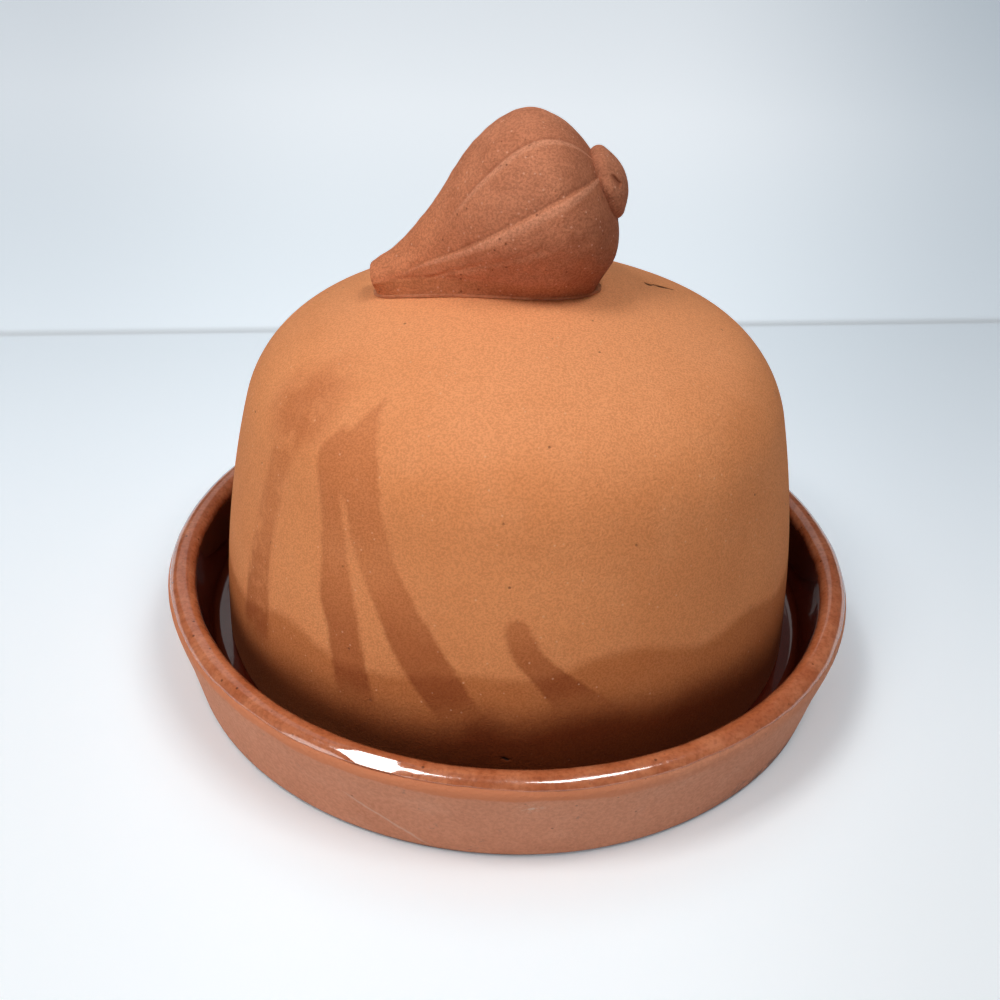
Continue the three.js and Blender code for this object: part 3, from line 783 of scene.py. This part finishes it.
button = bmesh.new()
flat = BUTTON_RADIUS - BUTTON_EDGE
pen = start_at(button, 0, BUTTON_BACK)
pen = line_to(button, pen, flat, BUTTON_BACK, cuts=4)
pen = arc_about(button, pen, (flat, BUTTON_BACK + BUTTON_EDGE), math.radians(148), 30)
face_middle = (0, pen.co.z / MM - math.sqrt(BUTTON_FACE_ARC ** 2 - (pen.co.x / MM) ** 2))
face_turn = math.atan2(pen.co.z / MM - face_middle[1], pen.co.x / MM)
pen = arc_about(button, pen, face_middle, math.pi / 2 - face_turn, 30)
turn_on_wheel(button, 220)
fold_field = button.verts.layers.float.new("fold")
for vert in button.verts:
    station, reach = vert.co.z / MM, math.hypot(vert.co.x, vert.co.y) / MM
    turn = math.degrees(math.atan2(vert.co.x, vert.co.y))
    way = Vector((math.cos(BUTTON_TILT), 0, math.sin(BUTTON_TILT)))
    spot = STEM_END + BULB_AXIS * BUTTON_BACK - BULB_UP * BUTTON_DROP + way * (station - BUTTON_BACK)
    up, side = math.cos(math.radians(turn)), math.sin(math.radians(turn))
    outward = Vector((-way.z, 0, way.x)) * up + BULB_SIDE * side
    crack = math.exp(-((station - CRACK_STATION - 0.03 * (turn - CRACK_TURN)) / 0.3) ** 2)
    crack *= ease(turn, 62, 68) * (1 - ease(turn, 86, 94))
    uneven = noise.noise((spot + outward * reach) * 0.28) * 0.5 - 0.12
    spot += outward * (reach + (uneven - CRACK_DEEP * crack) * ease(reach, 0, 3))
    # The crack's low fold value colours it dark as painted shade.
    vert[fold_field] = BUTTON_RUB - 2.4 * crack
    vert.co = (spot + Vector((0, 0, LID_FOOT))) * MM
bmesh.ops.recalc_face_normals(button, faces=button.faces)
fired_piece(button, "bulb_root", red_clay, "root_button", "lid")

# Studio: a pale sheet with a faint crease behind the roaster, rolled up all round far away. Its glow paints a
# paler wall beyond the crease, painted shade along the crease, towards the far left and on the right, and a
# painted shadow round the saucer's foot. Two lamps hang near, above its left and right, one stands low at the
# left, and a dim one lights its back. The camera stands where the photograph was taken from.
SHEET_REACH = 2200
SHEET_ROLL = 450
CREASE_SLANT = 0.138
sheet_shape = bmesh.new()
pen = start_at(sheet_shape, 0, 0)
pen = line_to(sheet_shape, pen, SHEET_REACH, 0, cuts=10)
arc_about(sheet_shape, pen, (SHEET_REACH, SHEET_ROLL), math.pi / 2, 16)
turn_on_wheel(sheet_shape, 96)
for face in sheet_shape.faces:
    face.smooth = True
sheet_mesh = bpy.data.meshes.new("pale_sheet")
sheet_shape.to_mesh(sheet_mesh)
sheet_shape.free()
pale_sheet = bpy.data.objects.new("pale_sheet", sheet_mesh)
bpy.context.scene.collection.objects.link(pale_sheet)
paper, tree, surface, place = new_finish("pale_paper")
ways = tree.nodes.new("ShaderNodeSeparateXYZ")
feed(tree, place, ways.inputs["Vector"])
reach = tree.nodes.new("ShaderNodeVectorMath")
reach.operation = "LENGTH"
feed(tree, place, reach.inputs[0])
behind = reckon(tree, "MAXIMUM", reckon(tree, "ADD", ways.outputs["Y"], 0.33), 0.2)
aside = reckon(tree, "DIVIDE", ways.outputs["X"], behind)
slant = reckon(tree, "SUBTRACT", ways.outputs["Y"], reckon(tree, "MULTIPLY", ways.outputs["X"], CREASE_SLANT))
in_line = between(tree, reckon(tree, "ABSOLUTE", aside), 0.4, 0.9, 1, 0)
back_part = reckon(tree, "MULTIPLY", between(tree, slant, 0.164, 0.167), in_line)
backward = between(tree, ways.outputs["Y"], -0.1, 0.08)
glow = tint(tree, backward, (0.19, 0.24, 0.275, 1), (0.235, 0.305, 0.365, 1))
far_back = between(tree, ways.outputs["Y"], 0.12, 0.5)
back_glow = tint(tree, far_back, (0.32, 0.39, 0.45, 1), (0.55, 0.595, 0.64, 1))
glow = tint(tree, back_part, glow, back_glow)
# Painted shade: a dark line along the crease.
crease = between(tree, slant, 0.1625, 0.165)
crease = reckon(tree, "MULTIPLY", crease, between(tree, slant, 0.1655, 0.171, 1, 0))
crease = reckon(tree, "MULTIPLY", crease, in_line)
glow = tint(tree, crease, glow, (0.38, 0.42, 0.45, 1), "MULTIPLY")
# Painted shade: the glow is darker towards the far left and much darker towards the right, away from the
# lamps.
leftward = between(tree, aside, -0.36, -0.12, 1, 0)
glow = tint(tree, leftward, glow, (0.80, 0.82, 0.84, 1), "MULTIPLY")
rightward = between(tree, aside, 0.08, 0.38)
glow = tint(tree, rightward, glow, (0.55, 0.60, 0.64, 1), "MULTIPLY")
# Painted shadow: the glow is darker in a ring round the saucer's foot.
foot_painted_shadow = between(tree, reach.outputs["Value"], 0.071, 0.092, 1, 0)
glow = tint(tree, foot_painted_shadow, glow, (0.5, 0.46, 0.46, 1), "MULTIPLY")
near_away = between(tree, reach.outputs["Value"], 0.24, 0.62)
far_away = between(tree, reach.outputs["Value"], 1.0, 2.0)
away = reckon(tree, "ADD", reckon(tree, "MULTIPLY", near_away, reckon(tree, "SUBTRACT", 1.0, back_part)),
              reckon(tree, "MULTIPLY", far_away, back_part))
glow = tint(tree, away, glow, (0.74, 0.78, 0.82, 1))
feed(tree, glow, surface.inputs["Emission Color"])
rays = tree.nodes.new("ShaderNodeLightPath")
seen = reckon(tree, "ADD", rays.outputs["Is Camera Ray"], rays.outputs["Is Glossy Ray"])
seen = reckon(tree, "ADD", seen, rays.outputs["Is Transmission Ray"])
feed(tree, seen, surface.inputs["Emission Strength"])
surface.inputs["Base Color"].default_value = (0.92, 0.93, 0.935, 1)
surface.inputs["Roughness"].default_value = 0.8
surface.inputs["Specular IOR Level"].default_value = 0.2
sheet_mesh.materials.append(paper)


LAMPS_AIM = (0, -0.02, 0.07)


def soft_lamp(name, spot, width, height, power):
    lamp = bpy.data.lights.new(name, "AREA")
    lamp.shape = "RECTANGLE"
    lamp.size, lamp.size_y = width, height
    lamp.energy = power
    holder = bpy.data.objects.new(name, lamp)
    holder.location = spot
    aim = Vector(spot) - Vector(LAMPS_AIM)
    holder.rotation_euler = aim.to_track_quat("Z", "Y").to_euler()
    bpy.context.scene.collection.objects.link(holder)


soft_lamp("upper_left_lamp", (-0.16, -0.14, 0.45), 0.13, 0.13, 0.79)
soft_lamp("upper_right_lamp", (0.13, -0.13, 0.45), 0.20, 0.08, 0.72)
soft_lamp("low_left_lamp", (-0.6, -0.6, 0.3), 0.5, 0.5, 1.85)
soft_lamp("back_lamp", (-0.3, 0.75, 0.95), 1.0, 1.0, 1.1)

world = bpy.data.worlds.new("pale_room")
world.use_nodes = True
tree = world.node_tree
sky = tree.nodes["Background"]
sky.inputs["Color"].default_value = (0.94, 0.97, 1.0, 1)
SKY_LIGHT = 0.06
SKY_PALE = 0.8
skyward = tree.nodes.new("ShaderNodeSeparateXYZ")
feed(tree, tree.nodes.new("ShaderNodeTexCoord").outputs["Generated"], skyward.inputs["Vector"])
low_sky = between(tree, skyward.outputs["Z"], 0.1, 0.2, 1, 0)
rays = tree.nodes.new("ShaderNodeLightPath")
mirrored = reckon(tree, "ADD", rays.outputs["Is Glossy Ray"], rays.outputs["Is Transmission Ray"])
seen = reckon(tree, "ADD", rays.outputs["Is Camera Ray"], reckon(tree, "MULTIPLY", mirrored, low_sky))
pale_sky = reckon(tree, "MULTIPLY", seen, SKY_PALE)
feed(tree, reckon(tree, "ADD", pale_sky, SKY_LIGHT), sky.inputs["Strength"])
bpy.context.scene.world = world

LENS_PIXELS = 1150
FRAME_PIXELS = 1000
CAMERA_SPOT = (0, -0.214375, 0.170644)
pitch, yaw, roll = math.radians(32.75), math.radians(-0.64), math.radians(2.26)
ahead = Vector((math.sin(yaw) * math.cos(pitch), math.cos(yaw) * math.cos(pitch), -math.sin(pitch)))
level = Vector((math.cos(yaw), -math.sin(yaw), 0))
above = level.cross(ahead)
right_way = level * math.cos(roll) + above * math.sin(roll)
up_way = above * math.cos(roll) - level * math.sin(roll)
camera = bpy.data.cameras.new("photo_camera")
camera.sensor_width = 36
camera.lens = camera.sensor_width * LENS_PIXELS / FRAME_PIXELS
camera.clip_start = 0.01
stand = bpy.data.objects.new("photo_camera", camera)
turned = Matrix((right_way, up_way, -ahead)).transposed().to_4x4()
stand.matrix_world = Matrix.Translation(CAMERA_SPOT) @ turned
bpy.context.scene.collection.objects.link(stand)
bpy.context.scene.camera = stand
bpy.context.scene.view_settings.view_transform = "Standard"
